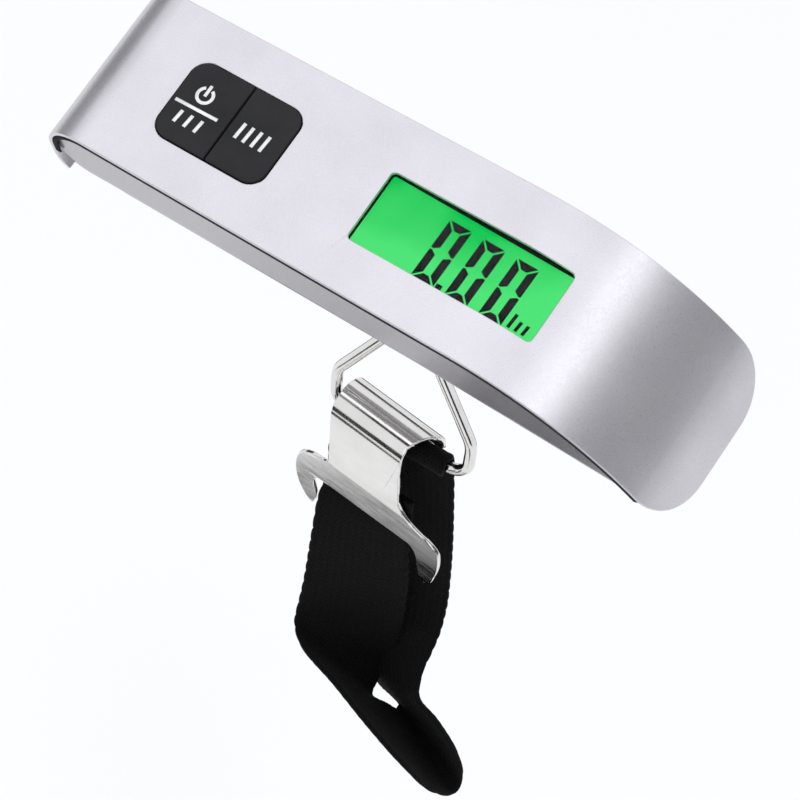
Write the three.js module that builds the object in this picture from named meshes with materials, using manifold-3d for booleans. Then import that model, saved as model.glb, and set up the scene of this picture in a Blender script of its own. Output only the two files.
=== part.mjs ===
// Hand-held digital luggage scale: a long body under a bent steel plate, a triangular ring that hangs from the
// load cell's eye, a sheet-steel T hook rolled round the ring's bar, and a webbing loop.
// Millimetres. +X runs from the key end to the display end, +Z is up, and ring, hook and loop hang plumb.
// The body is held with its face leaning 20 degrees towards -Y. The origin is the middle of the grip.
import * as THREE from "three";
import { mergeVertices } from "three/addons/utils/BufferGeometryUtils.js";
import Module from "manifold-3d";

const wasm = await Module();
wasm.setup();

// Overall
const LEAN = THREE.MathUtils.degToRad(20);
const GAP = 0.15; // air between neighbours that would touch
const FACE_Z = 11; // top of the plate along the straight run
const BELLY_Z = -11;
const END_X = -79; // rolled end of the plate
const BEND_X = 24; // the display end bends down from here
const BEND_R = 57;
const BEND_ANGLE = THREE.MathUtils.degToRad(60);
const TONGUE = 4.6; // straight run after the bend

// Plate and liner
const PLATE_T = 1.0;
const LINER_T = 1.6;
const ROLL_R = 11; // outer radius of the roll at the key end
const PLATE_HALF = 20.5;
const TONGUE_CORNER = 13;
const LINER_X0 = -64;

// Lower housing
const HOUSING_HALF = 19.7;
const HOUSING_WALL = 1.8;
const HOUSING_TOP = 7.9; // below plate and liner, with a dark shadow gap
const HOUSING_X0 = -77.8;
const HOUSING_X1 = 63.5;
const SLOPE_X = 15; // the belly slopes down from here
const SLOPE = 4 / 45;
const EDGE_R = 5;

// Keys and display
const KEY_X = [-57.2, -43.15, -42.85, -29.6];
const KEY_HALF = 9.7;
const KEY_TOP = 11.45;
const KEY_CORNER = 4.2;
const LCD_X = 15.1;
const LCD_Y = -0.4;
const LCD_L = 44.8;
const LCD_W = 17.6;

// Load cell and eye
const CELL_Y = -11.3;
const CELL_W = 10;
const CELL_X = [-38, 14];
const CELL_Z = [-8, 0.6];
const EYE_X = 7.9;
const EYE_Z = -13.45;
const WIRE_R = 1.35;
const EYE_HOLE_R = 1.75;

// Ring, in the frame that hangs plumb
const RING_Y = -6;
const RING_BAR_Z = -53.7;

// Hook
const HOOK_YAW = THREE.MathUtils.degToRad(-7);
const HOOK_X = 2.6;
const HOOK_Z = -52.7; // axis of the roll
const HOOK_T = 1.0;
const ROLL_OUT = 5.8;

// Strap
const WEB_W = 25;
const WEB_T = 1.2;

const part = new THREE.Group();
const body = new THREE.Group();
body.rotation.x = LEAN;
part.add(body);

const V = (x, y, z) => new THREE.Vector3(x, y, z);

function toSolid(geometry) {
  const g = geometry.index ? geometry.toNonIndexed() : geometry.clone();
  g.deleteAttribute("normal");
  g.deleteAttribute("uv");
  const merged = mergeVertices(g, 1e-4);
  return new wasm.Manifold(
    new wasm.Mesh({
      numProp: 3,
      vertProperties: merged.attributes.position.array,
      triVerts: new Uint32Array(merged.index.array),
    }),
  );
}

function toGeometry(solid) {
  const mesh = solid.getMesh();
  const flat = new Float32Array(mesh.numVert * 3);
  for (let i = 0; i < mesh.numVert; i++) {
    flat.set(mesh.vertProperties.subarray(i * mesh.numProp, i * mesh.numProp + 3), i * 3);
  }
  const g = new THREE.BufferGeometry();
  g.setAttribute("position", new THREE.BufferAttribute(flat, 3));
  g.setIndex(new THREE.BufferAttribute(mesh.triVerts, 1));
  return g.toNonIndexed();
}

function addNode(name, solid, color, metalness, roughness, into = body) {
  const geometry = toGeometry(solid);
  geometry.computeVertexNormals();
  const mesh = new THREE.Mesh(geometry, new THREE.MeshStandardMaterial({ color, metalness, roughness }));
  mesh.name = name;
  into.add(mesh);
  return mesh;
}

function box(x0, x1, y0, y1, z0, z1) {
  const g = new THREE.BoxGeometry(x1 - x0, y1 - y0, z1 - z0);
  g.translate((x0 + x1) / 2, (y0 + y1) / 2, (z0 + z1) / 2);
  return toSolid(g);
}

function cylinder(radius, length, center, axis, segments = 24) {
  const g = new THREE.CylinderGeometry(radius, radius, length, segments);
  if (axis === "z") g.rotateX(Math.PI / 2);
  if (axis === "x") g.rotateZ(Math.PI / 2);
  g.translate(center.x, center.y, center.z);
  return toSolid(g);
}

// A prism of a shape drawn in X and Y, from z0 to z1.
function slab(shape, z0, z1, segments = 8) {
  const g = new THREE.ExtrudeGeometry(shape, { depth: z1 - z0, bevelEnabled: false, curveSegments: segments });
  g.translate(0, 0, z0);
  return toSolid(g);
}

// A prism of a shape drawn in X and Z, from y0 to y1.
function wall(shape, y0, y1, segments = 12) {
  const g = new THREE.ExtrudeGeometry(shape, { depth: y1 - y0, bevelEnabled: false, curveSegments: segments });
  g.rotateX(Math.PI / 2);
  g.translate(0, y1, 0);
  return toSolid(g);
}

function roundedRect(x0, x1, y0, y1, corners) {
  const [a, b, c, d] = Array.isArray(corners) ? corners : [corners, corners, corners, corners];
  const s = new THREE.Shape();
  s.moveTo(x0 + a, y0);
  s.lineTo(x1 - b, y0);
  if (b) s.absarc(x1 - b, y0 + b, b, -Math.PI / 2, 0);
  s.lineTo(x1, y1 - c);
  if (c) s.absarc(x1 - c, y1 - c, c, 0, Math.PI / 2);
  s.lineTo(x0 + d, y1);
  if (d) s.absarc(x0 + d, y1 - d, d, Math.PI / 2, Math.PI);
  s.lineTo(x0, y0 + a);
  if (a) s.absarc(x0 + a, y0 + a, a, Math.PI, 1.5 * Math.PI);
  return s;
}

// A closed solid from points and triangles, turned to face outwards.
function closedSolid(points, faces) {
  const g = new THREE.BufferGeometry();
  g.setAttribute("position", new THREE.Float32BufferAttribute(points.flatMap((p) => [p.x, p.y, p.z]), 3));
  g.setIndex(faces);
  const made = toSolid(g);
  if (made.volume() > 0) return made;
  g.setIndex(faces.map((_, i) => faces[i - (i % 3) + [0, 2, 1][i % 3]]));
  return toSolid(g);
}

// A solid through closed rings of points, one ring per station, capped at both ends.
function loft(rings) {
  const n = rings[0].length;
  const faces = [];
  for (let i = 0; i + 1 < rings.length; i++) {
    for (let j = 0; j < n; j++) {
      const a = i * n + j;
      const b = i * n + ((j + 1) % n);
      faces.push(a, b, b + n, a, b + n, a + n);
    }
  }
  const last = (rings.length - 1) * n;
  for (let j = 1; j + 1 < n; j++) {
    faces.push(0, j + 1, j, last, last + j, last + j + 1);
  }
  return closedSolid(rings.flat(), faces);
}

function minus(solid, ...cuts) {
  return cuts.reduce((a, b) => a.subtract(b), solid);
}

function plus(...solids) {
  return solids.reduce((a, b) => a.add(b));
}

// The long profile of the plate, moved inwards by an offset: height of the surface at x.
function surfaceZ(x, inset) {
  if (x <= BEND_X) return FACE_Z - inset;
  const r = BEND_R - inset;
  const centreZ = FACE_Z - BEND_R;
  const reach = Math.sin(BEND_ANGLE) * r;
  const dx = x - BEND_X;
  if (dx <= reach) return centreZ + Math.sqrt(r * r - dx * dx);
  return centreZ + Math.cos(BEND_ANGLE) * r - (dx - reach) * Math.tan(BEND_ANGLE);
}

// Line of the plate's profile at an inset, from x0 to the tongue's end, short of it by a little if asked.
function bendLine(shape, inset, short, forward) {
  const r = BEND_R - inset;
  const cz = FACE_Z - BEND_R;
  const tipX = BEND_X + r * Math.sin(BEND_ANGLE) + (TONGUE - short) * Math.cos(BEND_ANGLE);
  const tipZ = cz + r * Math.cos(BEND_ANGLE) - (TONGUE - short) * Math.sin(BEND_ANGLE);
  const top = Math.PI / 2;
  if (forward) {
    shape.lineTo(BEND_X, FACE_Z - inset);
    shape.absarc(BEND_X, cz, r, top, top - BEND_ANGLE, true);
    shape.lineTo(tipX, tipZ);
    return;
  }
  shape.lineTo(tipX, tipZ);
  shape.lineTo(BEND_X + r * Math.sin(BEND_ANGLE), cz + r * Math.cos(BEND_ANGLE));
  shape.absarc(BEND_X, cz, r, top - BEND_ANGLE, top, false);
}

// A long prism whose end has the tongue's round corners, square to the tongue.
function tongueOutline(half, short) {
  const outline = roundedRect(-300, -short, -half, half, [0, TONGUE_CORNER, TONGUE_CORNER, 0]);
  const g = new THREE.ExtrudeGeometry(outline, { depth: 400, bevelEnabled: false, curveSegments: 10 });
  g.translate(0, 0, -200);
  g.rotateY(BEND_ANGLE);
  const r = BEND_R;
  g.translate(
    BEND_X + r * Math.sin(BEND_ANGLE) + TONGUE * Math.cos(BEND_ANGLE),
    0,
    FACE_Z - BEND_R + r * Math.cos(BEND_ANGLE) - TONGUE * Math.sin(BEND_ANGLE),
  );
  return toSolid(g);
}

// The plate narrows a little towards the key end.
function planTaper(extra) {
  const s = new THREE.Shape();
  s.moveTo(-90, -PLATE_HALF + 0.9 - extra);
  s.lineTo(20, -PLATE_HALF - extra);
  s.lineTo(120, -PLATE_HALF - extra);
  s.lineTo(120, PLATE_HALF + extra);
  s.lineTo(20, PLATE_HALF + extra);
  s.lineTo(-90, PLATE_HALF - 0.9 + extra);
  return slab(s, -80, 40);
}

function topPlate() {
  const s = new THREE.Shape();
  const rollX = END_X + ROLL_R;
  const curl = 8.15; // the lower curl under the end
  const curlX = END_X + curl;
  const stop = 1.25 * Math.PI;
  s.moveTo(rollX, FACE_Z);
  bendLine(s, 0, 0, true);
  bendLine(s, PLATE_T, 0, false);
  s.lineTo(rollX, FACE_Z - PLATE_T);
  s.absarc(rollX, 0, ROLL_R - PLATE_T, Math.PI / 2, Math.PI, false);
  s.absarc(curlX, -4, curl - PLATE_T, Math.PI, stop, false);
  s.lineTo(curlX + curl * Math.cos(stop), -4 + curl * Math.sin(stop));
  s.absarc(curlX, -4, curl, stop, Math.PI, true);
  s.absarc(rollX, 0, ROLL_R, Math.PI, Math.PI / 2, true);
  const keyHole = roundedRect(KEY_X[0] - 0.25, KEY_X[3] + 0.25, -KEY_HALF - 0.25, KEY_HALF + 0.25, KEY_CORNER);
  const x0 = LCD_X - LCD_L / 2;
  const lcdHole = roundedRect(x0, x0 + LCD_L, LCD_Y - LCD_W / 2, LCD_Y + LCD_W / 2, 1.2);
  return minus(
    wall(s, -22, 22, 20).intersect(tongueOutline(PLATE_HALF, 0)).intersect(planTaper(0)),
    slab(keyHole, 5, 15),
    slab(lcdHole, 5, 15),
  );
}

const SCREWS = [V(-69, 9, -11), V(-69, -9, -11), V(50, 9, 0), V(50, -9, 0)];
for (const p of SCREWS) p.z = bellyZ(p.x);

function bellyZ(x) {
  return x < SLOPE_X ? BELLY_Z : BELLY_Z - (x - SLOPE_X) * SLOPE;
}

// Everything below the plate's profile at an inset.
function belowPlate(inset) {
  const s = new THREE.Shape();
  s.moveTo(-100, FACE_Z - inset);
  bendLine(s, inset, 0, true);
  s.lineTo(100, -60);
  s.lineTo(-100, -60);
  return wall(s, -30, 30, 20);
}

const BOSS_GAP = 2.8; // height of the housing's screw collar over the belly, and a little air
const POST_X = -24.5;
const POST_Y = 12.4;

// The moulded liner backs the plate, frames the display and the keys, and carries the screw bosses.
function liner() {
  const top = PLATE_T + GAP;
  const s = new THREE.Shape();
  s.moveTo(LINER_X0, FACE_Z - top);
  bendLine(s, top, 1.2, true);
  bendLine(s, top + LINER_T, 1.2, false);
  s.lineTo(LINER_X0, FACE_Z - top - LINER_T);
  const x0 = LCD_X - LCD_L / 2;
  const y0 = LCD_Y - LCD_W / 2;
  const window = roundedRect(x0 - 1.4, x0 + LCD_L + 1.6, y0 - 1.4, y0 + LCD_W + 1.4, 1.5);
  const keys = roundedRect(KEY_X[0] - 1.4, KEY_X[3] + 1.4, -KEY_HALF - 1.4, KEY_HALF + 1.4, 5);
  let made = minus(
    wall(s, -20.2, 20.2, 20).intersect(tongueOutline(PLATE_HALF - 0.5, 1.2)).intersect(planTaper(-0.4)),
    slab(window, 5, 15),
    slab(keys, 5, 15),
  );
  made = made.add(box(-71.6, LINER_X0 + 1, -13.5, 13.5, FACE_Z - top - LINER_T, 9));
  let bosses = cylinder(2, 5, V(POST_X, POST_Y, 6.3), "z", 16).add(cylinder(2, 5, V(POST_X, -POST_Y, 6.3), "z", 16));
  for (const p of SCREWS) {
    const z0 = p.z + BOSS_GAP;
    const z1 = p.x < 0 ? FACE_Z - 2.4 : surfaceZ(p.x, top + 0.6);
    bosses = bosses.add(cylinder(2.6, z1 - z0, V(p.x, p.y, (z0 + z1) / 2), "z", 20));
  }
  made = made.add(bosses.intersect(belowPlate(top + 0.5)));
  for (const p of SCREWS) {
    made = made.subtract(cylinder(1.2, 8, V(p.x, p.y, p.z + BOSS_GAP + 3.9), "z", 16));
  }
  for (const y of [-POST_Y, POST_Y]) {
    made = made.subtract(cylinder(0.95, 3, V(POST_X, y, 5), "z", 12));
  }
  return made;
}

// Rings of points for the tub: flat top edge, upright walls, round lower edges.
function tubRing(x, half, top, bottom, radius) {
  const r = Math.min(radius, (top - bottom) * 0.45);
  const ring = [V(x, half, top), V(x, -half, top)];
  for (let i = 0; i <= 6; i++) {
    const a = Math.PI + (i / 6) * (Math.PI / 2);
    ring.push(V(x, -half + r + r * Math.cos(a), bottom + r + r * Math.sin(a)));
  }
  for (let i = 0; i <= 6; i++) {
    const a = 1.5 * Math.PI + (i / 6) * (Math.PI / 2);
    ring.push(V(x, half - r + r * Math.cos(a), bottom + r + r * Math.sin(a)));
  }
  return ring;
}

function tub(inset, lift) {
  const rings = [];
  const x0 = HOUSING_X0 + inset;
  const upper = ROLL_R - PLATE_T - GAP - 0.05 - inset;
  const lower = 7 - inset;
  const rolls = 8;
  for (let i = 0; i <= rolls; i++) {
    const a = (i / rolls) * (Math.PI / 2) * 0.985 + 0.02;
    const x = x0 + lower * (1 - Math.cos(a));
    const dx = x0 + upper - x;
    const high = Math.min(HOUSING_TOP, Math.sqrt(Math.max(upper * upper - dx * dx, 0.3)));
    rings.push(tubRing(x, taperedHalf(x) - inset, high + lift, -4 - lower * Math.sin(a), EDGE_R - inset));
  }
  for (const x of [-68, -50, SLOPE_X, HOUSING_X1 - inset]) {
    rings.push(tubRing(x, taperedHalf(x) - inset, HOUSING_TOP + lift, bellyZ(x) + inset, EDGE_R - inset));
  }
  return loft(rings);
}

function taperedHalf(x) {
  return HOUSING_HALF - Math.max(0, (20 - x) / 110) * 0.9;
}

const COVER = { x0: -63, x1: -38.4, half: 14, z0: -11, z1: -9.6 };
const COIN = { x: -49.5, y: 2.5, r: 10, z0: -8.4, z1: -5.2 };
const BOLT_X = [CELL_X[0] + 3, CELL_X[0] + 9];

function lowerHousing() {
  const under = belowPlate(PLATE_T + LINER_T + 2 * GAP + 0.2);
  const shell = tub(0, 0).intersect(under);
  let made = shell.subtract(tub(HOUSING_WALL, 3));
  // tray for the coin cell
  made = made.add(cylinder(COIN.r + 1.5, 5.6, V(COIN.x, COIN.y, -6.8), "z", 40));
  made = made.subtract(cylinder(COIN.r + 0.3, 8, V(COIN.x, COIN.y, -8.6), "z", 40));
  const door = roundedRect(COVER.x0 - 0.2, COVER.x1 + 0.2, -COVER.half - 0.2, COVER.half + 0.2, 1.7);
  made = made.subtract(slab(door, -13, COVER.z1 + 0.2));
  // screw holes with counterbores
  for (const p of SCREWS) {
    made = made.add(cylinder(4, 1.4, V(p.x, p.y, p.z + HOUSING_WALL), "z", 24));
    made = made.subtract(cylinder(1.25, 12, V(p.x, p.y, p.z), "z", 16));
    made = made.subtract(cylinder(2.6, 4, V(p.x, p.y, p.z - 0.6), "z", 20));
  }
  made = made.intersect(shell.add(box(-70, 40, -16, 16, -9.7, -3.9)));
  // seat of the load cell's fixed end, and the slot for the eye
  made = made.add(box(CELL_X[0] + 0.5, CELL_X[0] + 12, CELL_Y - 5, CELL_Y + 5, -9.6, CELL_Z[0] - GAP));
  for (const x of BOLT_X) {
    made = made.subtract(cylinder(1.65, 3, V(x, CELL_Y, -8.8), "z", 16));
  }
  made = made.subtract(slab(roundedRect(EYE_X - 2, EYE_X + 2, CELL_Y - 5.6, CELL_Y + 5.6, 1.5), -14, -8));
  // thumb notch beside the cover
  const notch = new THREE.Shape();
  notch.absellipse(-64, -9.6, 3.6, 3.4, 0, 2 * Math.PI);
  return made.subtract(wall(notch, -22, -18.6, 12));
}

function keyCap(x0, x1, left) {
  const c = KEY_CORNER - 0.3;
  const corners = left ? [c, 0.4, 0.4, c] : [0.4, c, c, 0.4];
  const cap = slab(roundedRect(x0, x1, -KEY_HALF, KEY_HALF, corners), 8.4, KEY_TOP);
  const f = left ? [4.5, 0.4, 0.4, 4.5] : [0.4, 4.5, 4.5, 0.4];
  const edge = roundedRect(x0 - (left ? 0.9 : 0), x1 + (left ? 0 : 0.9), -KEY_HALF - 0.9, KEY_HALF + 0.9, f);
  const flange = slab(edge, 8.3, 9.6);
  const xm = (x0 + x1) / 2;
  return plus(cap, flange, cylinder(1.6, 1.6, V(xm, 0, 7.9), "z", 20));
}

// Silicone sheet under the keys, with a hole round each stem.
function keyMembrane() {
  let sheet = slab(roundedRect(KEY_X[0] - 2.6, KEY_X[3] + 2.6, -KEY_HALF - 2.6, KEY_HALF + 2.6, 5), 6.95, 7.5);
  for (const i of [0, 2]) {
    sheet = sheet.subtract(cylinder(2.1, 4, V((KEY_X[i] + KEY_X[i + 1]) / 2, 0, 7.2), "z", 20));
  }
  return sheet;
}

function tactSwitch(x) {
  return plus(box(x - 3, x + 3, -3, 3, 3.75, 5.6), cylinder(1.5, 1.0, V(x, 0, 5.9), "z", 20));
}

function frameRect(x0, x1, y0, y1, edge, z0, z1) {
  return slab(roundedRect(x0, x1, y0, y1, 1), z0, z1).subtract(
    slab(roundedRect(x0 + edge, x1 - edge, y0 + edge, y1 - edge, 0.6), z0 - 1, z1 + 1),
  );
}

const CELL_MID = (CELL_X[0] + CELL_X[1]) / 2 - 2;

// A binocular bar: two round holes joined by a slot leave four thin bending sections.
function loadCell() {
  const [x0, x1] = CELL_X;
  const [z0, z1] = CELL_Z;
  const mid = CELL_MID;
  const zc = (z0 + z1) / 2;
  let bar = box(x0, x1, CELL_Y - CELL_W / 2, CELL_Y + CELL_W / 2, z0, z1);
  for (const dx of [-6, 6]) {
    bar = bar.subtract(cylinder(3.4, 20, V(mid + dx, CELL_Y, zc), "y", 32));
  }
  bar = bar.subtract(box(mid - 6, mid + 6, CELL_Y - 10, CELL_Y + 10, zc - 1.2, zc + 1.2));
  for (const x of BOLT_X) {
    bar = bar.subtract(cylinder(1.75, 20, V(x, CELL_Y, zc), "z", 24));
  }
  bar = bar.subtract(box(EYE_X - 1.2, EYE_X + 1.2, CELL_Y - 10, CELL_Y + 10, z0 - 1, 0.2));
  return bar.subtract(cylinder(1.65, 20, V(EYE_X, CELL_Y, -3.2), "x", 24));
}

function eyePlate() {
  const s = new THREE.Shape();
  s.moveTo(-3.9, 0);
  s.lineTo(-3.9, EYE_Z);
  s.absarc(0, EYE_Z, 3.9, Math.PI, 2 * Math.PI, false);
  s.lineTo(3.9, 0);
  const hole = new THREE.Path();
  hole.absarc(0, EYE_Z, EYE_HOLE_R, 0, 2 * Math.PI, true);
  const pin = new THREE.Path();
  pin.absarc(0, -3.2, 1.65, 0, 2 * Math.PI, true);
  s.holes = [hole, pin];
  const g = new THREE.ExtrudeGeometry(s, { depth: 2, bevelEnabled: false, curveSegments: 20 });
  g.rotateX(Math.PI / 2);
  g.rotateZ(Math.PI / 2);
  g.translate(EYE_X - 1, CELL_Y, 0);
  return toSolid(g);
}

function machineScrew(p, headR, headH, shankR, length) {
  const head = cylinder(headR, headH, V(p.x, p.y, p.z + headH / 2), "z", 24);
  const shank = cylinder(shankR, length, V(p.x, p.y, p.z + headH + length / 2 - 0.2), "z", 16);
  const arm = headR * 0.6;
  return minus(
    plus(head, shank),
    box(p.x - arm, p.x + arm, p.y - 0.35, p.y + 0.35, p.z - 1, p.z + headH * 0.5),
    box(p.x - 0.35, p.x + 0.35, p.y - arm, p.y + arm, p.z - 1, p.z + headH * 0.5),
  );
}

// A round wire along a curve.
function wireAlong(points, radius, steps, sides) {
  const curve = new THREE.CatmullRomCurve3(points, false, "centripetal");
  const s = new THREE.Shape();
  s.absarc(0, 0, radius, 0, 2 * Math.PI);
  const g = new THREE.ExtrudeGeometry(s, {
    extrudePath: curve,
    steps,
    bevelEnabled: false,
    curveSegments: sides,
  });
  return toSolid(g);
}

// Centre line of the ring in the plane y = RING_Y: legs that run from the eye to two knees, short uprights, a bar.
function ringLine() {
  const corners = [
    { x: 0, z: -12.3, r: 4.2 },
    { x: 17.2, z: -42.7, r: 9 },
    { x: 17, z: RING_BAR_Z, r: 5 },
    { x: -17.7, z: RING_BAR_Z, r: 5 },
    { x: -17.9, z: -42.7, r: 9 },
  ];
  const line = [];
  corners.forEach((c, i) => {
    const before = corners[(i + corners.length - 1) % corners.length];
    const after = corners[(i + 1) % corners.length];
    const here = new THREE.Vector2(c.x, c.z);
    const back = new THREE.Vector2(before.x, before.z).sub(here).normalize();
    const on = new THREE.Vector2(after.x, after.z).sub(here).normalize();
    const half = Math.acos(back.dot(on)) / 2;
    const middle = back.clone().add(on).normalize();
    const centre = here.clone().addScaledVector(middle, c.r / Math.sin(half));
    const sweep = Math.PI - 2 * half;
    const start = here.clone().addScaledVector(back, c.r / Math.tan(half)).sub(centre).angle();
    const steps = Math.max(4, Math.round(sweep / 0.2));
    for (let k = 0; k <= steps; k++) {
      const t = start - (sweep * k) / steps;
      line.push(V(EYE_X + centre.x + c.r * Math.cos(t), RING_Y, centre.y + c.r * Math.sin(t)));
    }
  });
  return line;
}

function ring() {
  const line = ringLine();
  const sides = 14;
  const n = line.length;
  const points = [];
  line.forEach((p, i) => {
    const t = line[(i + 1) % n].clone().sub(line[(i + n - 1) % n]).normalize();
    const out = V(0, 1, 0).cross(t);
    for (let j = 0; j < sides; j++) {
      const a = (2 * Math.PI * j) / sides;
      points.push(p.clone().addScaledVector(out, WIRE_R * Math.cos(a)).add(V(0, WIRE_R * Math.sin(a), 0)));
    }
  });
  const faces = [];
  for (let i = 0; i < n; i++) {
    for (let j = 0; j < sides; j++) {
      const a = i * sides + j;
      const b = i * sides + ((j + 1) % sides);
      const c = ((i + 1) % n) * sides + ((j + 1) % sides);
      const d = ((i + 1) % n) * sides + j;
      faces.push(a, b, c, a, c, d);
    }
  }
  return closedSolid(points, faces);
}

// The hook: a sheet rolled round the strap on the ring's bar, running down to a T with two claws.
function hookPlate() {
  const r = ROLL_OUT;
  const ri = ROLL_OUT - HOOK_T;
  const tail = THREE.MathUtils.degToRad(-14); // the roll ends behind the bar
  const kneeZ = -16;
  const lean = Math.tan(THREE.MathUtils.degToRad(3.5));
  const drop = 24;
  const side = new THREE.Shape();
  side.moveTo(r * Math.cos(tail), r * Math.sin(tail));
  side.absarc(0, 0, r, tail, Math.PI, false);
  side.lineTo(-r, kneeZ);
  side.lineTo(-r + drop * lean, kneeZ - drop);
  side.lineTo(-ri + drop * lean, kneeZ - drop);
  side.lineTo(-ri, kneeZ);
  side.lineTo(-ri, 0);
  side.absarc(0, 0, ri, Math.PI, tail, true);
  const g = new THREE.ExtrudeGeometry(side, { depth: 60, bevelEnabled: false, curveSegments: 24 });
  g.rotateX(Math.PI / 2);
  g.rotateZ(Math.PI / 2);
  g.translate(-30, 0, 0);
  const sheet = toSolid(g);

  const front = new THREE.Shape();
  front.moveTo(-10.4, 8);
  front.lineTo(-9.5, -15.5);
  front.quadraticCurveTo(-9.6, -17.2, -12.5, -17.3);
  front.quadraticCurveTo(-19.1, -18, -19.2, -26);
  front.quadraticCurveTo(-19, -33.4, -14, -36.4);
  front.quadraticCurveTo(-12.6, -35, -12.8, -31.4);
  front.quadraticCurveTo(-13.9, -27.6, -13.2, -26.1);
  front.quadraticCurveTo(-12.8, -25.3, -11, -25.2);
  front.lineTo(14.6, -24.5);
  front.quadraticCurveTo(17, -25.4, 17.3, -29.6);
  front.quadraticCurveTo(17.6, -34.2, 20, -34.6);
  front.quadraticCurveTo(21.8, -34.4, 22.3, -30.8);
  front.quadraticCurveTo(24, -25.4, 23.2, -21);
  front.quadraticCurveTo(22, -19, 18, -18.2);
  front.quadraticCurveTo(12.4, -17, 10.9, -13);
  front.lineTo(10.3, -4.6);
  front.lineTo(10.3, 8);
  // seen from above, the rolled end is wider than the neck and its edge runs out slanting
  const over = new THREE.Shape();
  over.moveTo(-10.4, -4);
  over.lineTo(10.3, -4);
  over.lineTo(13.6, 3.5);
  over.lineTo(13.6, 7);
  over.lineTo(-10.4, 7);
  const made = plus(
    sheet.intersect(wall(front, -8, -3, 8)),
    sheet.intersect(slab(over, -6, 8)).intersect(box(-20, 20, -4, 8, -4, 8)),
  );
  return made.rotate([0, 0, THREE.MathUtils.radToDeg(HOOK_YAW)]).translate([HOOK_X, RING_Y, HOOK_Z]);
}

// Webbing: stations of the centre line with the direction of the width. The front run leaves the T, twists half
// round in the open loop at the bottom, and the back run rises to the bar.
const WEB_STATIONS = [
  [V(3, -9.3, -66), V(0.99, -0.12, 0)],
  [V(3, -8.7, -76), V(0.99, -0.12, 0)],
  [V(3.4, -10.9, -83), V(1, 0, -0.05)],
  [V(4.4, -12.6, -92), V(0.98, 0.12, -0.05)],
  [V(4.5, -13.5, -108), V(0.96, 0.25, -0.15)],
  [V(4.2, -14.6, -118), V(0.93, 0.32, -0.15)],
  [V(4.8, -17, -123), V(0.76, 0.47, -0.45)],
  [V(6.8, -20.4, -125), V(0.53, 0.48, -0.69)],
  [V(12.7, -23.5, -125.3), V(0.1, 0.57, -0.81)],
  [V(19.5, -24.8, -127.5), V(-0.33, 0.68, -0.66)],
  [V(25, -24, -132), V(-0.67, 0.66, -0.33)],
  [V(28.6, -21, -138.5), V(-0.86, 0.5, 0.07)],
  [V(30.6, -17.5, -142), V(-0.92, 0.33, 0.22)],
  [V(30.5, -15.2, -141), V(-0.94, 0.33, 0.05)],
  [V(28.8, -14.8, -136.7), V(-0.88, 0.36, -0.32)],
  [V(25.1, -15.6, -131), V(-0.7, 0.37, -0.61)],
  [V(20.6, -15.9, -127.5), V(-0.64, 0.36, -0.68)],
  [V(17.4, -13.6, -123.6), V(-0.71, 0.22, -0.67)],
  [V(15.2, -9.8, -119.5), V(-0.83, 0.15, -0.54)],
  [V(13, -5.6, -113.5), V(-0.95, 0.12, -0.3)],
  [V(11.4, -3, -100), V(-1, 0.08, -0.03)],
  [V(10.4, -2.6, -80), V(-0.99, 0.1, 0.04)],
  [V(8.6, -3.7, -62), V(-1, 0, 0)],
];

function strap() {
  const centre = new THREE.CatmullRomCurve3(WEB_STATIONS.map((s) => s[0]), false, "centripetal");
  const widths = new THREE.CatmullRomCurve3(WEB_STATIONS.map((s) => s[1].clone().multiplyScalar(100)));
  const rows = [];
  const steps = 80;
  for (let i = 0; i <= steps; i++) {
    const w = widths.getPoint(i / steps).normalize();
    const t = centre.getTangent(i / steps);
    rows.push([centre.getPoint(i / steps), w, w.clone().cross(t).normalize()]);
  }
  // over the bar, down in front of it and under it
  const radius = WIRE_R + 0.2 + WEB_T / 2;
  const across = V(-1, 0, 0);
  const back = V(0, 1, 0);
  const turns = 18;
  for (let i = 0; i <= turns; i++) {
    const a = THREE.MathUtils.degToRad((235 * i) / turns);
    const out = back.clone().multiplyScalar(Math.cos(a)).add(V(0, 0, Math.sin(a)));
    rows.push([V(7.8, RING_Y, RING_BAR_Z).addScaledVector(out, radius), across, out]);
  }
  const side = Math.sign(rows[steps][2].dot(back));
  const rings = rows.map(([p, w, n], i) => {
    const thick = n.clone().multiplyScalar(i > steps ? side : 1);
    return [
      [-1, -1],
      [1, -1],
      [1, 1],
      [-1, 1],
    ].map(([u, v]) => p.clone().addScaledVector(w, (u * WEB_W) / 2).addScaledVector(thick, (v * WEB_T) / 2));
  });
  return loft(rings);
}

// A folded spring strip between x0 and x1.
function contactStrip(x0, x1, y, z, rise) {
  const s = new THREE.Shape();
  s.moveTo(x0, z);
  s.lineTo((x0 + x1) / 2, z + rise);
  s.lineTo(x1, z);
  s.lineTo(x1, z + 0.25);
  s.lineTo((x0 + x1) / 2, z + rise + 0.25);
  s.lineTo(x0, z + 0.25);
  return wall(s, y - 2, y + 2);
}

// The display stack lies flat under the plate at its key end and tips down to follow the start of the bend.
const LCD_X0 = LCD_X - LCD_L / 2;
const LCD_X1 = LCD_X + LCD_L / 2;
const LCD_Y0 = LCD_Y - LCD_W / 2;
const LCD_Y1 = LCD_Y + LCD_W / 2;
const LCD_TILT = 2.4;

function tipped(solid) {
  return solid.translate([-LCD_X0, 0, -9.75]).rotate([0, LCD_TILT, 0]).translate([LCD_X0, 0, 9.75]);
}

function coinCell() {
  const can = cylinder(COIN.r, 2.4, V(COIN.x, COIN.y, COIN.z1 - 1.2), "z", 40);
  return can.add(cylinder(COIN.r - 1.4, 3.2, V(COIN.x, COIN.y, (COIN.z0 + COIN.z1) / 2), "z", 40));
}

function crystalCan() {
  const ends = [-15, -11].map((x) => cylinder(1, 2.85, V(x, 5, 5.175), "z", 16));
  return plus(box(-15, -11, 4, 6, 3.75, 6.6), ...ends);
}

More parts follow.
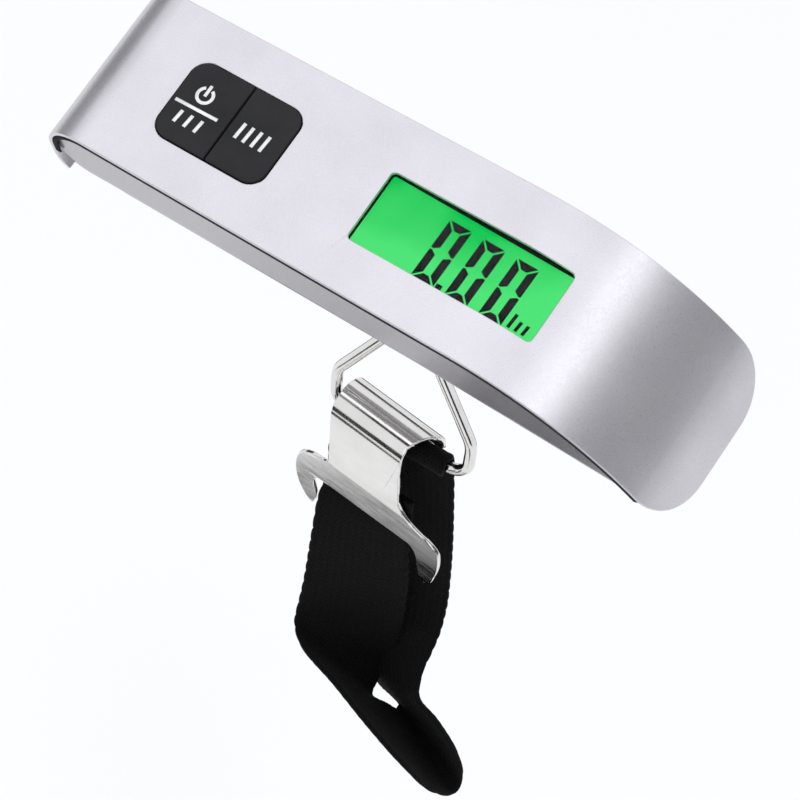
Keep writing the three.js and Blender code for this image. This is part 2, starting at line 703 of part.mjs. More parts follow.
function circuitBoard() {
  let board = box(-61, 41, -14.6, 14.6, 2.4, 3.6);
  for (const y of [-POST_Y, POST_Y]) {
    board = board.subtract(cylinder(1.2, 4, V(POST_X, y, 3), "z", 16));
  }
  return board;
}

function boardScrew(y) {
  const head = cylinder(1.7, 1, V(POST_X, y, 1.75), "z", 20);
  const shank = cylinder(0.75, 4, V(POST_X, y, 4), "z", 12);
  const slot = box(POST_X - 1.3, POST_X + 1.3, y - 0.25, y + 0.25, 1, 1.6);
  return minus(head.add(shank), slot);
}

function anchorBolt(x) {
  const head = cylinder(2.6, 1.2, V(x, CELL_Y, 1.4), "z", 24);
  const shank = cylinder(1.5, 11, V(x, CELL_Y, -4.6), "z", 20);
  return minus(head.add(shank), box(x - 2, x + 2, CELL_Y - 0.35, CELL_Y + 0.35, 1.5, 3));
}

// Skin and shells
addNode("top_plate", topPlate(), 0xd9d6de, 0.6, 0.35);
addNode("liner", liner(), 0x5c5c60, 0, 0.6);
addNode("lower_housing", lowerHousing(), 0xa7a4a9, 0, 0.5);
const coverShape = roundedRect(COVER.x0, COVER.x1, -COVER.half, COVER.half, 1.5);
addNode("battery_cover", slab(coverShape, COVER.z0, COVER.z1), 0xa7a4a9, 0, 0.5);
SCREWS.forEach((p, i) => {
  addNode("housing_screw_" + (i + 1), machineScrew(V(p.x, p.y, p.z + 0.1), 2.2, 1.2, 1.0, 7), 0x9a9a9a, 0.9, 0.35);
});

// Display
const lens = roundedRect(LCD_X0 - 1.1, LCD_X1 + 1.1, LCD_Y0 - 1.1, LCD_Y1 + 1.1, 1.4);
addNode("display_window", tipped(slab(lens, 8.9, 9.65)), 0xffffff, 0, 0.1);
const gasket = frameRect(LCD_X0 - 1.1, LCD_X1 + 1.1, LCD_Y0 - 1.1, LCD_Y1 + 1.1, 1.1, 8.35, 8.75);
addNode("display_gasket", tipped(gasket), 0x111111, 0, 0.8);
const glass = box(LCD_X0 - 1.1, LCD_X1 + 1.1, LCD_Y0 - 1.1, LCD_Y1 + 4.1, 7, 8.05);
addNode("display_glass", tipped(glass), 0x66dd77, 0, 0.2);
const light = box(LCD_X0 - 0.9, LCD_X1 + 0.9, LCD_Y0 - 0.9, LCD_Y1 + 0.9, 5.75, 6.85);
addNode("backlight", tipped(light), 0x55ee66, 0, 0.4);
const strip = new THREE.Shape();
strip.moveTo(LCD_X0, 3.75);
strip.lineTo(LCD_X1, 3.75);
strip.lineTo(LCD_X1, 4.9);
strip.lineTo(LCD_X0, 6.8);
addNode("contact_strip", wall(strip, LCD_Y1 + 1.6, LCD_Y1 + 3.6), 0xd8a0a8, 0, 0.8);

// Electronics
addNode("circuit_board", circuitBoard(), 0x1d6b3a, 0, 0.5);
addNode("converter_chip", box(-24, -17, 1, 8, 3.75, 5.2), 0x151515, 0, 0.5);
addNode("amplifier_chip", box(-24, -19, -8, -4, 3.75, 5.0), 0x151515, 0, 0.5);
addNode("crystal", crystalCan(), 0xc0c0c0, 0.9, 0.3);
addNode("capacitor", cylinder(2, 3.2, V(-13, -6, 5.35), "z"), 0x202860, 0, 0.4);
addNode("resistor_1", box(-16, -14.4, -1.2, -0.4, 3.75, 4.2), 0x22222a, 0, 0.5);
addNode("resistor_2", box(-13, -11.4, -1.2, -0.4, 3.75, 4.2), 0x22222a, 0, 0.5);
addNode("power_switch", tactSwitch((KEY_X[0] + KEY_X[1]) / 2), 0x222222, 0, 0.5);
addNode("unit_switch", tactSwitch((KEY_X[2] + KEY_X[3]) / 2), 0x222222, 0, 0.5);
addNode("power_key", keyCap(KEY_X[0], KEY_X[1], true), 0x3a3a3d, 0, 0.6);
addNode("unit_key", keyCap(KEY_X[2], KEY_X[3], false), 0x3a3a3d, 0, 0.6);
addNode("key_membrane", keyMembrane(), 0x8d8d92, 0, 0.8);
addNode("board_screw_1", boardScrew(-POST_Y), 0x9a9a9a, 0.9, 0.35);
addNode("board_screw_2", boardScrew(POST_Y), 0x9a9a9a, 0.9, 0.35);

// Power
addNode("coin_cell", coinCell(), 0xc8c8c8, 0.9, 0.3);
addNode("cell_contact_positive", box(COIN.x - 5, COIN.x + 5, COIN.y - 2, COIN.y + 2, -5.05, -4.75), 0xd0b070, 0.9, 0.3);
addNode("cell_contact_negative", contactStrip(COIN.x - 7, COIN.x + 7, COIN.y, -9.4, 0.6), 0xd0b070, 0.9, 0.3);

// Load path
addNode("load_cell", loadCell(), 0xb9bcc0, 0.9, 0.4);
addNode("anchor_bolt_1", anchorBolt(BOLT_X[0]), 0x8f8f8f, 0.9, 0.35);
addNode("anchor_bolt_2", anchorBolt(BOLT_X[1]), 0x8f8f8f, 0.9, 0.35);
addNode("gauge_top", box(CELL_MID - 8.5, CELL_MID - 3.5, CELL_Y - 2.5, CELL_Y + 2.5, 0.7, 0.9), 0xc98a3a, 0, 0.5);
addNode("gauge_bottom", box(CELL_MID - 8.5, CELL_MID - 3.5, CELL_Y - 2.5, CELL_Y + 2.5, -8.3, -8.1), 0xc98a3a, 0, 0.5);
[0xb02020, 0x151515, 0xe0e0e0, 0x2a8a3a].forEach((color, i) => {
  const y = CELL_Y - 1.8 + 1.2 * i;
  const run = [V(CELL_MID - 3.2, y, 1.05), V(CELL_MID + 1, y, 1.1), V(CELL_MID + 5, y, 1.9), V(CELL_MID + 9, y, 2)];
  addNode("gauge_wire_" + (i + 1), wireAlong(run, 0.28, 12, 8), color, 0, 0.5);
});
addNode("eye_plate", eyePlate(), 0xb0b0b0, 0.9, 0.35);
addNode("eye_pin", cylinder(1.5, 11, V(EYE_X, CELL_Y, -3.2), "x", 20), 0x8f8f8f, 0.9, 0.3);

// What hangs plumb
addNode("ring", ring(), 0xc9c6c0, 1, 0.2, part);
addNode("hook", hookPlate(), 0xc9c6c0, 1, 0.2, part);
addNode("strap", strap(), 0x101012, 0, 0.9, part);

export default part;
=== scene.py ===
"""A hand-held luggage scale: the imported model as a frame, with finer skins, webbing and finishes on it.

Lengths are millimetres until a mesh is placed, and metres after that. +X runs from the keys to the display,
+Z is up. The body leans 20 degrees towards -Y, and the ring, the hook and the loop hang plumb.
"""
import math

import bmesh
import bpy
from mathutils import Matrix, Vector
from mathutils.geometry import delaunay_2d_cdt


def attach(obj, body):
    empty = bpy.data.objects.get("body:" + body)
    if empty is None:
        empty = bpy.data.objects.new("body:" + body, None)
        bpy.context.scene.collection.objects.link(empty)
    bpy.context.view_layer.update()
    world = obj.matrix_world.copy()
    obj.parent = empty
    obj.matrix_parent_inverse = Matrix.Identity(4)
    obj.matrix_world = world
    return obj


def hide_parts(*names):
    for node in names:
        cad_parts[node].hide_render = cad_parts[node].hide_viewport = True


MM = 0.001
LEAN = math.radians(20)
TO_METRES = Matrix.Scale(MM, 4)
BODY = Matrix.Rotation(LEAN, 4, "X") @ TO_METRES  # places what is drawn in the body's own frame

# View
CAMERA_AT = Vector((226.1, -401.9, 506.3)) * MM
CAMERA_RIGHT = Vector((0.8233, 0.5624, 0.0761))
CAMERA_UP = Vector((-0.4758, 0.6110, 0.6327))
LENS = 148.5
FLOOR_Z = -0.34
FLOOR_SIZE = 8

# Dark studio flags: name, place, width, height, tone
FLAGS = [
    ("flag_camera", (-0.05, -0.52, 0.66), 1.1, 0.16, 0.02),
    ("flag_front", (-0.25, -0.72, -0.28), 0.8, 0.42, 0.02),
    ("flag_leg_left", (-0.25, -0.27, -0.33), 0.16, 0.16, 0.02),
    ("flag_leg_right", (0.49, -0.33, -0.10), 0.28, 0.34, 0.02),
    ("flag_floor", (-0.10, -0.30, -0.335), 0.4, 0.14, 0.04),
    ("flag_low", (0.10, -0.24, -0.33), 0.10, 0.16, 0.02),
    ("flag_under", (-0.10, 0.26, -0.33), 0.5, 0.25, 0.03),
    ("flag_side", (-0.045, 0.02, -0.335), 0.06, 0.25, 0.02),
    ("flag_hook", (-0.075, -0.125, -0.335), 0.16, 0.05, 0.25),
    ("flag_left", (-0.75, 0.1, 0.16), 0.9, 0.5, 0.04),
    ("flag_right", (0.58, 0.03, 0.28), 0.9, 0.54, 0.10),
    ("flag_back", (-0.1, 0.8, 0.25), 0.9, 0.20, 0.03),
]

# Plate
PLATE_T = 1.0
PLATE_HALF = 20.5
PLATE_NARROW = 0.9 / 110  # half width lost per millimetre towards the keys
TAPER_X = 20  # where the narrowing starts
ROLL_X = -68
ROLL_R = 11
CURL_R = 8.15
CURL_DROP = 4
BEND_X = 24
BEND_R = 57
BEND = math.radians(60)
TONGUE = 4.6
TONGUE_CORNER = 13
ROLL_CUT = 0.8  # how far apart the sheet is cut across: at the roll, on the flat face and round the bend
FACE_CUT = 4.07
BEND_CUT = 1.21
GAP_STEPS = 140
GAP_SECTION = ((0.02, 1.03), (0.02, 2.25), (0.38, 2.35), (0.38, 1.03))  # inward from the edge, below the face

# Keys and display
KEY_X = (-57.2, -43.15, -42.85, -29.6)
KEY_HALF = 9.7
KEY_FOOT = 8.4
KEY_TOP = 11.45
KEY_CORNER = 4.2
KEY_GAP = 0.25
INNER_CORNER = 0.4
MARK_T = 0.04
POWER_X = -51.2
LCD_X0, LCD_X1 = -7.3, 37.5
LCD_Y0, LCD_Y1 = -9.2, 8.4
LCD_TILT = math.radians(2.4)
LCD_HINGE_Z = 9.75
GLASS_TOP = 8.05
DIGIT_W = 5.4
DIGIT_H = 14.6
DIGIT_PITCH = 8.2
DIGIT_X = 7.7
DIGIT_Y = -8.35
DIGIT_STROKE = 1.75
DIGIT_SLANT = 0.015
HAIRLINE = 0.28
INK_T = 0.05

# Ring and hook
EYE_X = 7.9
RING_Y = -6
RING_BAR_Z = -53.7
RING_HIP_Z = -42.7
WIRE_R = 1.35
WIRE_SIDES = 28
HOOK_YAW = math.radians(-7)
HOOK_AT = (2.6, -6, -52.7)
HOOK_T = 1.0
HOOK_R = 5.8
HOOK_LOW = -38  # the hook's own height where its developed sheet starts
KNEE_Z = -16
KNEE = math.radians(3.5)

# Webbing
WEB_W = 25
WEB_T = 1.2
WEB_STEP = 0.42
WEB_COLUMNS = 52
WEB_EDGE = 0.55  # radius of the turned edge
SCALLOP = 0.3
SCALLOP_PITCH = 3.6
RIB_PITCH = 1.92
PICK_PITCH = 1.5
BAR_X = 7.8
BAR_WRAP = 235  # degrees that the webbing lies round the bar


# ---------------------------------------------------------------- camera, light and floor


def add_camera():
    data = bpy.data.cameras.new("camera")
    data.sensor_width = 36
    data.lens = LENS
    camera = bpy.data.objects.new("camera", data)
    bpy.context.scene.collection.objects.link(camera)
    right = CAMERA_RIGHT.normalized()
    back = right.cross(CAMERA_UP).normalized()
    up = back.cross(right)
    turn = Matrix((right, up, back)).transposed().to_4x4()
    camera.matrix_world = Matrix.Translation(CAMERA_AT) @ turn
    bpy.context.scene.camera = camera


def add_light(name, place, aim, width, height, power):
    data = bpy.data.lights.new(name, "AREA")
    data.shape = "RECTANGLE"
    data.size = width
    data.size_y = height
    data.energy = power
    light = bpy.data.objects.new(name, data)
    bpy.context.scene.collection.objects.link(light)
    light.location = place
    light.rotation_euler = (Vector(aim) - Vector(place)).to_track_quat("-Z", "Y").to_euler()


def add_plane(name, place, facing, width, height, material):
    """A flat rectangle that faces a point."""
    mesh = bpy.data.meshes.new(name)
    w, h = width / 2, height / 2
    mesh.from_pydata([(-w, -h, 0), (w, -h, 0), (w, h, 0), (-w, h, 0)], [], [(0, 1, 2, 3)])
    mesh.materials.append(material)
    plane = bpy.data.objects.new(name, mesh)
    bpy.context.scene.collection.objects.link(plane)
    plane.location = place
    plane.rotation_euler = (Vector(facing) - Vector(place)).to_track_quat("Z", "Y").to_euler()
    return plane


def add_flag(name, place, width, height, tone):
    """A dark studio flag, seen only in gloss."""
    material = plain_material(name + "_cloth", (tone, tone, tone), 0.9)
    flag = add_plane(name, place, (0, 0, -0.04), width, height, material)
    flag.visible_camera = False
    flag.visible_diffuse = False
    flag.visible_transmission = False
    flag.visible_shadow = False


def light_studio():
    world = bpy.data.worlds.new("studio")
    world.use_nodes = True
    background = world.node_tree.nodes["Background"]
    background.inputs["Color"].default_value = (0.97, 0.98, 1.0, 1)
    background.inputs["Strength"].default_value = 1.0
    bpy.context.scene.world = world
    bpy.context.scene.view_settings.view_transform = "Standard"
    add_light("key", (-0.25, -0.25, 1.1), (0, 0, -0.05), 0.9, 0.9, 1.2)
    add_light("bend_strip", (0.45, -0.04, 0.83), (0.03, 0, 0), 0.7, 0.12, 0.7)
    add_light("front", (0.1, -1.1, 0.35), (0, 0, -0.06), 0.8, 0.5, 1.2)
    paper = plain_material("paper", (0.93, 0.93, 0.93), 0.9)
    floor = add_plane("floor", (0, 0, FLOOR_Z), (0, 0, 0), FLOOR_SIZE, FLOOR_SIZE, paper)
    floor.visible_shadow = False
    for name, place, width, height, tone in FLAGS:
        add_flag(name, place, width, height, tone)


# ---------------------------------------------------------------- shader helpers


def new_material(name):
    material = bpy.data.materials.new(name)
    material.use_nodes = True
    tree = material.node_tree
    return material, tree, tree.nodes["Principled BSDF"]


def plain_material(name, colour, roughness):
    material, _, shader = new_material(name)
    shader.inputs["Base Color"].default_value = (*colour, 1)
    shader.inputs["Roughness"].default_value = roughness
    return material


def object_noise(tree, scale, detail=3, stretch=(1, 1, 1)):
    """Noise fixed to the piece, its scale in cells per metre."""
    where = tree.nodes.new("ShaderNodeTexCoord")
    mapping = tree.nodes.new("ShaderNodeMapping")
    mapping.inputs["Scale"].default_value = stretch
    noise = tree.nodes.new("ShaderNodeTexNoise")
    noise.inputs["Scale"].default_value = scale
    noise.inputs["Detail"].default_value = detail
    tree.links.new(where.outputs["Object"], mapping.inputs["Vector"])
    tree.links.new(mapping.outputs["Vector"], noise.inputs["Vector"])
    return noise.outputs["Fac"]


def spread(tree, value, low, high):
    """A 0.3 to 0.7 value stretched to run from low to high."""
    node = tree.nodes.new("ShaderNodeMapRange")
    node.inputs["From Min"].default_value = 0.3
    node.inputs["From Max"].default_value = 0.7
    node.inputs["To Min"].default_value = low
    node.inputs["To Max"].default_value = high
    tree.links.new(value, node.inputs["Value"])
    return node.outputs["Result"]


def between(tree, value, first, second):
    """A colour that runs from first to second as the value runs from 0.3 to 0.7."""
    node = tree.nodes.new("ShaderNodeValToRGB")
    node.color_ramp.elements[0].position = 0.3
    node.color_ramp.elements[0].color = (*first, 1)
    node.color_ramp.elements[1].position = 0.7
    node.color_ramp.elements[1].color = (*second, 1)
    tree.links.new(value, node.inputs["Fac"])
    return node.outputs["Color"]


def add_bump(tree, shader, height, distance, strength=0.5):
    node = tree.nodes.new("ShaderNodeBump")
    node.inputs["Distance"].default_value = distance
    node.inputs["Strength"].default_value = strength
    tree.links.new(height, node.inputs["Height"])
    tree.links.new(node.outputs["Normal"], shader.inputs["Normal"])


def textured(
    name, dark, light, metallic, roughness,
    coarse=300, fine=2500, relief=0.00004, stretch=(1, 1, 1), gloss=0.5,
):
    """The common finish: colour drifts between two tones, gloss varies, and a fine grain stands up.

    coarse and fine are the cells per metre of the drift and of the grain, and relief is the grain's height.
    """
    material, tree, shader = new_material(name)
    shader.inputs["Metallic"].default_value = metallic
    shader.inputs["Specular IOR Level"].default_value = gloss
    drift = object_noise(tree, coarse, 4, stretch)
    tree.links.new(between(tree, drift, dark, light), shader.inputs["Base Color"])
    grain = object_noise(tree, fine, 2, stretch)
    tree.links.new(spread(tree, grain, roughness * 0.85, roughness * 1.15), shader.inputs["Roughness"])
    add_bump(tree, shader, grain, relief)
    return material


def satin_metal():
    """Silver-lilac satin plate with a fine metallic sparkle."""
    material, tree, shader = new_material("satin_plate")
    shader.inputs["Metallic"].default_value = 0.72
    shader.inputs["Coat Weight"].default_value = 0.15
    shader.inputs["Coat Roughness"].default_value = 0.25
    cloud = object_noise(tree, 60, 4)
    silver = between(tree, cloud, (0.60, 0.583, 0.625), (0.66, 0.643, 0.685))
    tree.links.new(silver, shader.inputs["Base Color"])
    flake = object_noise(tree, 5200, 1)
    tree.links.new(spread(tree, flake, 0.27, 0.42), shader.inputs["Roughness"])
    add_bump(tree, shader, flake, 0.00002, 0.35)
    return material


def nickel():
    """Bright nickel with faint hairlines and handling haze."""
    material, tree, shader = new_material("bright_nickel")
    shader.inputs["Metallic"].default_value = 1
    haze = object_noise(tree, 140, 5)
    tree.links.new(between(tree, haze, (0.72, 0.71, 0.69), (0.80, 0.79, 0.775)), shader.inputs["Base Color"])
    line = object_noise(tree, 900, 3, (0.15, 1, 1))
    tree.links.new(spread(tree, line, 0.09, 0.18), shader.inputs["Roughness"])
    add_bump(tree, shader, line, 0.00001, 0.12)
    return material


def webbing():
    """Black polyester webbing: a herringbone of fine yarns, with painted shade darkening the weave's hollows,
    a little fuzz and a soft sheen.
    """
    material, tree, shader = new_material("black_webbing")
    shader.inputs["Sheen Weight"].default_value = 0.02
    shader.inputs["Sheen Roughness"].default_value = 0.5
    shader.inputs["Specular IOR Level"].default_value = 0.1
    where = tree.nodes.new("ShaderNodeTexCoord")
    waves = []
    for turn in (0.9, -0.9):
        mapping = tree.nodes.new("ShaderNodeMapping")
        mapping.inputs["Rotation"].default_value = (0, 0, turn)
        wave = tree.nodes.new("ShaderNodeTexWave")
        wave.inputs["Scale"].default_value = 0.42
        wave.inputs["Distortion"].default_value = 0.6
        tree.links.new(where.outputs["UV"], mapping.inputs["Vector"])
        tree.links.new(mapping.outputs["Vector"], wave.inputs["Vector"])
        waves.append(wave.outputs["Fac"])
    weave = tree.nodes.new("ShaderNodeMath")
    weave.operation = "MAXIMUM"
    tree.links.new(waves[0], weave.inputs[0])
    tree.links.new(waves[1], weave.inputs[1])
    # Painted shade: the colour is darker where the weave is low, in its hollows.
    tree.links.new(between(tree, weave.outputs[0], (0.0008, 0.0008, 0.001), (0.0035, 0.0035, 0.004)),
                   shader.inputs["Base Color"])
    fuzz = object_noise(tree, 2600, 3)
    tree.links.new(spread(tree, fuzz, 0.72, 0.95), shader.inputs["Roughness"])
    add_bump(tree, shader, weave.outputs[0], 0.00012, 0.8)
    return material


def lit_glass():
    """The display's lit face: green, deeper towards its far edge, clouded as a light guide is."""
    material, tree, shader = new_material("lit_display")
    shader.inputs["Roughness"].default_value = 0.2
    where = tree.nodes.new("ShaderNodeTexCoord")
    split = tree.nodes.new("ShaderNodeSeparateXYZ")
    tree.links.new(where.outputs["Generated"], split.inputs["Vector"])
    cloud = object_noise(tree, 45, 2)
    slope = tree.nodes.new("ShaderNodeMath")
    slope.operation = "MULTIPLY_ADD"
    slope.inputs[1].default_value = -0.42
    slope.inputs[2].default_value = 0.22
    tree.links.new(split.outputs["Y"], slope.inputs[0])
    total = tree.nodes.new("ShaderNodeMath")
    total.operation = "ADD"
    tree.links.new(slope.outputs[0], total.inputs[0])
    tree.links.new(cloud, total.inputs[1])
    green = between(tree, total.outputs[0], (0.0, 0.55, 0.08), (0.07, 0.78, 0.18))
    tree.links.new(green, shader.inputs["Emission Color"])
    shader.inputs["Emission Strength"].default_value = 0.95
    shader.inputs["Base Color"].default_value = (0.0, 0.04, 0.01, 1)
    shader.inputs["Specular IOR Level"].default_value = 0.02
    return material


def clear_window():
    material, tree, shader = new_material("clear_lens")
    shader.inputs["Base Color"].default_value = (0.98, 1.0, 0.98, 1)
    shader.inputs["Transmission Weight"].default_value = 1
    shader.inputs["IOR"].default_value = 1.15
    smear = object_noise(tree, 200, 3)
    tree.links.new(spread(tree, smear, 0.0, 0.04), shader.inputs["Roughness"])
    return material


def zebra_rubber():
    """Elastomer connector: hair-thin black layers in pink silicone."""
    material, tree, shader = new_material("zebra_layers")
    where = tree.nodes.new("ShaderNodeTexCoord")
    wave = tree.nodes.new("ShaderNodeTexWave")
    wave.inputs["Scale"].default_value = 1200
    tree.links.new(where.outputs["Object"], wave.inputs["Vector"])
    tree.links.new(between(tree, wave.outputs["Fac"], (0.02, 0.02, 0.02), (0.62, 0.30, 0.34)),
                   shader.inputs["Base Color"])
    shader.inputs["Roughness"].default_value = 0.7
    return material


def board_green():
    """Solder mask with copper tracks standing a little proud under it."""
    material, tree, shader = new_material("solder_mask")
    where = tree.nodes.new("ShaderNodeTexCoord")
    cells = tree.nodes.new("ShaderNodeTexBrick")
    cells.inputs["Scale"].default_value = 260
    cells.inputs["Color1"].default_value = (0.010, 0.12, 0.045, 1)
    cells.inputs["Color2"].default_value = (0.014, 0.16, 0.060, 1)
    cells.inputs["Mortar"].default_value = (0.03, 0.25, 0.10, 1)
    tree.links.new(where.outputs["Object"], cells.inputs["Vector"])
    tree.links.new(cells.outputs["Color"], shader.inputs["Base Color"])
    grain = object_noise(tree, 2200, 2)
    tree.links.new(spread(tree, grain, 0.3, 0.42), shader.inputs["Roughness"])
    add_bump(tree, shader, cells.outputs["Fac"], 0.00004)
    return material


def plastics():
    return {
        "dark_liner": textured(
            "liner_plastic", (0.018, 0.018, 0.020), (0.030, 0.030, 0.033), 0, 0.85, gloss=0.05,
        ),
        "grey_plastic": textured(
            "housing_plastic", (0.375, 0.36, 0.385), (0.40, 0.385, 0.41), 0.7, 0.24, 420, 3600, 0.00003,
        ),
        "light_guide": textured("light_guide_green", (0.05, 0.55, 0.12), (0.10, 0.70, 0.20), 0, 0.35),
        "chip_black": textured(
            "chip_epoxy", (0.010, 0.010, 0.011), (0.022, 0.022, 0.023), 0, 0.5, 900, 6000,
        ),
        "capacitor_sleeve": textured(
            "capacitor_blue", (0.010, 0.016, 0.10), (0.016, 0.025, 0.15), 0, 0.35,
        ),
        "gauge_film": textured(
            "gauge_polyimide", (0.45, 0.20, 0.03), (0.60, 0.30, 0.06), 0.3, 0.4, 1500, 5000,
        ),
    }


def rubbers():
    return {
        "gasket_foam": textured(
            "black_foam", (0.006, 0.006, 0.006), (0.02, 0.02, 0.02), 0, 0.9, 2500, 5000, 0.0001,
        ),
        "key_rubber": textured(
            "key_silicone", (0.012, 0.012, 0.014), (0.019, 0.019, 0.021), 0, 0.6, 90, 4200, gloss=0.25,
        ),
        "membrane_rubber": textured("membrane_silicone", (0.22, 0.22, 0.23), (0.30, 0.30, 0.31), 0, 0.75),
    }


def metals():
    return {
        "screw_steel": textured(
            "zinc_steel", (0.42, 0.42, 0.43), (0.60, 0.60, 0.61), 1, 0.32, 700, 5000, 0.00001,
        ),
        "can_steel": textured(
            "bright_can", (0.55, 0.55, 0.55), (0.68, 0.68, 0.67), 1, 0.22, 500, 4000, 0.00001,
        ),
        "contact_brass": textured(
            "plated_brass", (0.60, 0.42, 0.16), (0.72, 0.52, 0.22), 1, 0.28, 600, 5000, 0.00001,
        ),
        "cell_aluminium": textured(
            "milled_aluminium", (0.50, 0.51, 0.52), (0.66, 0.67, 0.68), 1, 0.34, 400, 3000, 0.00002,
            stretch=(0.1, 1, 1),
        ),
    }


def wires():
    return {
        "wire_red": textured("lead_red", (0.40, 0.02, 0.02), (0.55, 0.04, 0.03), 0, 0.4),
        "wire_black": textured("lead_black", (0.010, 0.010, 0.010), (0.02, 0.02, 0.02), 0, 0.4),
        "wire_white": textured("lead_white", (0.70, 0.70, 0.68), (0.80, 0.80, 0.78), 0, 0.4),
        "wire_green": textured("lead_green", (0.02, 0.24, 0.04), (0.03, 0.34, 0.07), 0, 0.4),
    }


def all_materials():
    """Every material slot of the record, with its finish."""
    return {
        "satin_metal": satin_metal(),
        "nickel": nickel(),
        "webbing": webbing(),
        "display_glass": lit_glass(),
        "clear_window": clear_window(),
        "zebra_rubber": zebra_rubber(),
        "board_green": board_green(),
        **plastics(),
        **rubbers(),
        **metals(),
        **wires(),
    }


def dress_frame(frame, finishes):
    """Every CAD node wears the finish of its slot, which its packed material is named after."""
    for node in frame["nodes"].values():
        for slot in node.material_slots:
            slot.material = finishes[slot.material.name.split(".")[0]]


# ---------------------------------------------------------------- shape helpers


def polar(x, y, radius, degrees):
    a = math.radians(degrees)
    return (x + radius * math.cos(a), y + radius * math.sin(a))


def arc(x, y, radius, start, stop, steps=8):
    return [polar(x, y, radius, start + (stop - start) * i / steps) for i in range(steps + 1)]


def rounded_rect(x0, x1, y0, y1, corners, steps=8):
    """Corners run from the lower left round to the upper left."""
    a, b, c, d = corners
    return (
        arc(x0 + a, y0 + a, a, 180, 270, steps)
        + arc(x1 - b, y0 + b, b, 270, 360, steps)
        + arc(x1 - c, y1 - c, c, 0, 90, steps)
        + arc(x0 + d, y1 - d, d, 90, 180, steps)
    )


def curve_to(points, control, end, steps=8):
    """Adds a quadratic curve to a list of points."""
    start = Vector(points[-1])
    control = Vector(control)
    end = Vector(end)
    for i in range(1, steps + 1):
        t = i / steps
        points.append(tuple(start * (1 - t) ** 2 + control * 2 * t * (1 - t) + end * t * t))


def inside(point, outline):
    """Even-odd test."""
    x, y = point
    crossings = 0
    for (ax, ay), (bx, by) in zip(outline, outline[1:] + outline[:1]):
        if (ay > y) != (by > y) and x < ax + (y - ay) / (by - ay) * (bx - ax):
            crossings += 1
    return crossings % 2 == 1


def turtle(start, heading, runs):
    """The point and heading at a distance along straights and arcs, each given as (length, angle turned)."""

    def at(distance):
        h, v = start
        a = heading
        for length, turn in runs:
            step = min(distance, length)
            if abs(turn) < 1e-9:
                h += step * math.cos(a)
                v += step * math.sin(a)
            else:
                radius = length / turn
                after = a + step / radius
                h += radius * (math.sin(after) - math.sin(a))
                v -= radius * (math.cos(after) - math.cos(a))
                a = after
            distance -= step
            if distance <= 1e-9:
                break
        return h, v, a

    return at


def new_object(name, bm, material, place):
    mesh = bpy.data.meshes.new(name)
    bm.to_mesh(mesh)
    bm.free()
    mesh.transform(place)
    mesh.materials.append(material)
    for polygon in mesh.polygons:
        polygon.use_smooth = True
    made = bpy.data.objects.new(name, mesh)
    bpy.context.scene.collection.objects.link(made)
    return made


def soften(piece, width, segments=3):
    """Rounds a piece's sharp edges and evens out its shading."""
    bevel = piece.modifiers.new("edges", "BEVEL")
    bevel.width = width * MM
    bevel.segments = segments
    bevel.limit_method = "ANGLE"
    bevel.angle_limit = math.radians(40)
    bevel.use_clamp_overlap = False
    bevel.harden_normals = False
    weighted = piece.modifiers.new("shading", "WEIGHTED_NORMAL")
    weighted.keep_sharp = False


def bent_sheet(name, outline, holes, stations, path, embed, thickness, round_edge, material, place):
    """Sheet metal: a flat outline, with distance along the sheet first, cut across at the stations, then bent
    along a path. The outer face follows the path, and the metal lies on its inner side."""
    points = [Vector(p) for p in outline]
    edges = [(i, (i + 1) % len(outline)) for i in range(len(outline))]
    for hole in holes:
        base = len(points)
        points += [Vector(p) for p in hole]
        edges += [(base + i, base + (i + 1) % len(hole)) for i in range(len(hole))]
    reach = max(abs(p[1]) for p in outline) + 5
    for s in stations:
        edges.append((len(points), len(points) + 1))
        points += [Vector((s, -reach)), Vector((s, reach))]
    flat, _, cells, *_ = delaunay_2d_cdt(points, edges, [], 4, 1e-4)
    bm = bmesh.new()
    bent = {}
    outward = None
    flip = False
    for cell in cells:
        middle = sum((flat[i] for i in cell), Vector((0, 0))) / len(cell)
        if not inside(middle, outline) or any(inside(middle, hole) for hole in holes):
            continue
        for i in cell:
            if i not in bent:
                h, v, _ = path(flat[i].x)
                bent[i] = bm.verts.new(embed(h, flat[i].y, v))
        face = bm.faces.new([bent[i] for i in cell])
        if outward is None:
            h, v, a = path(middle.x)
            outward = embed(h - math.sin(a), middle.y, v + math.cos(a)) - embed(h, middle.y, v)
            face.normal_update()
            flip = face.normal.dot(outward) < 0
    if flip:
        bmesh.ops.reverse_faces(bm, faces=bm.faces[:])
    piece = new_object(name, bm, material, place)
    solidify = piece.modifiers.new("thickness", "SOLIDIFY")
    solidify.thickness = thickness * MM
    solidify.offset = -1
    soften(piece, round_edge)
    return piece


def slab(name, outline, z0, z1, round_edge, material, place):
    """An outline raised from z0 to z1, with soft edges."""
    bm = bmesh.new()
    base = bm.faces.new([bm.verts.new((x, y, z0)) for x, y in outline])
    base.normal_update()
    if base.normal.z > 0:
        base.normal_flip()
    grown = bmesh.ops.extrude_face_region(bm, geom=[base])
    top = [v for v in grown["geom"] if isinstance(v, bmesh.types.BMVert)]
    bmesh.ops.translate(bm, verts=top, vec=(0, 0, z1 - z0))
    bmesh.ops.recalc_face_normals(bm, faces=bm.faces[:])
    piece = new_object(name, bm, material, place)
    if round_edge:
        soften(piece, round_edge)
    return piece


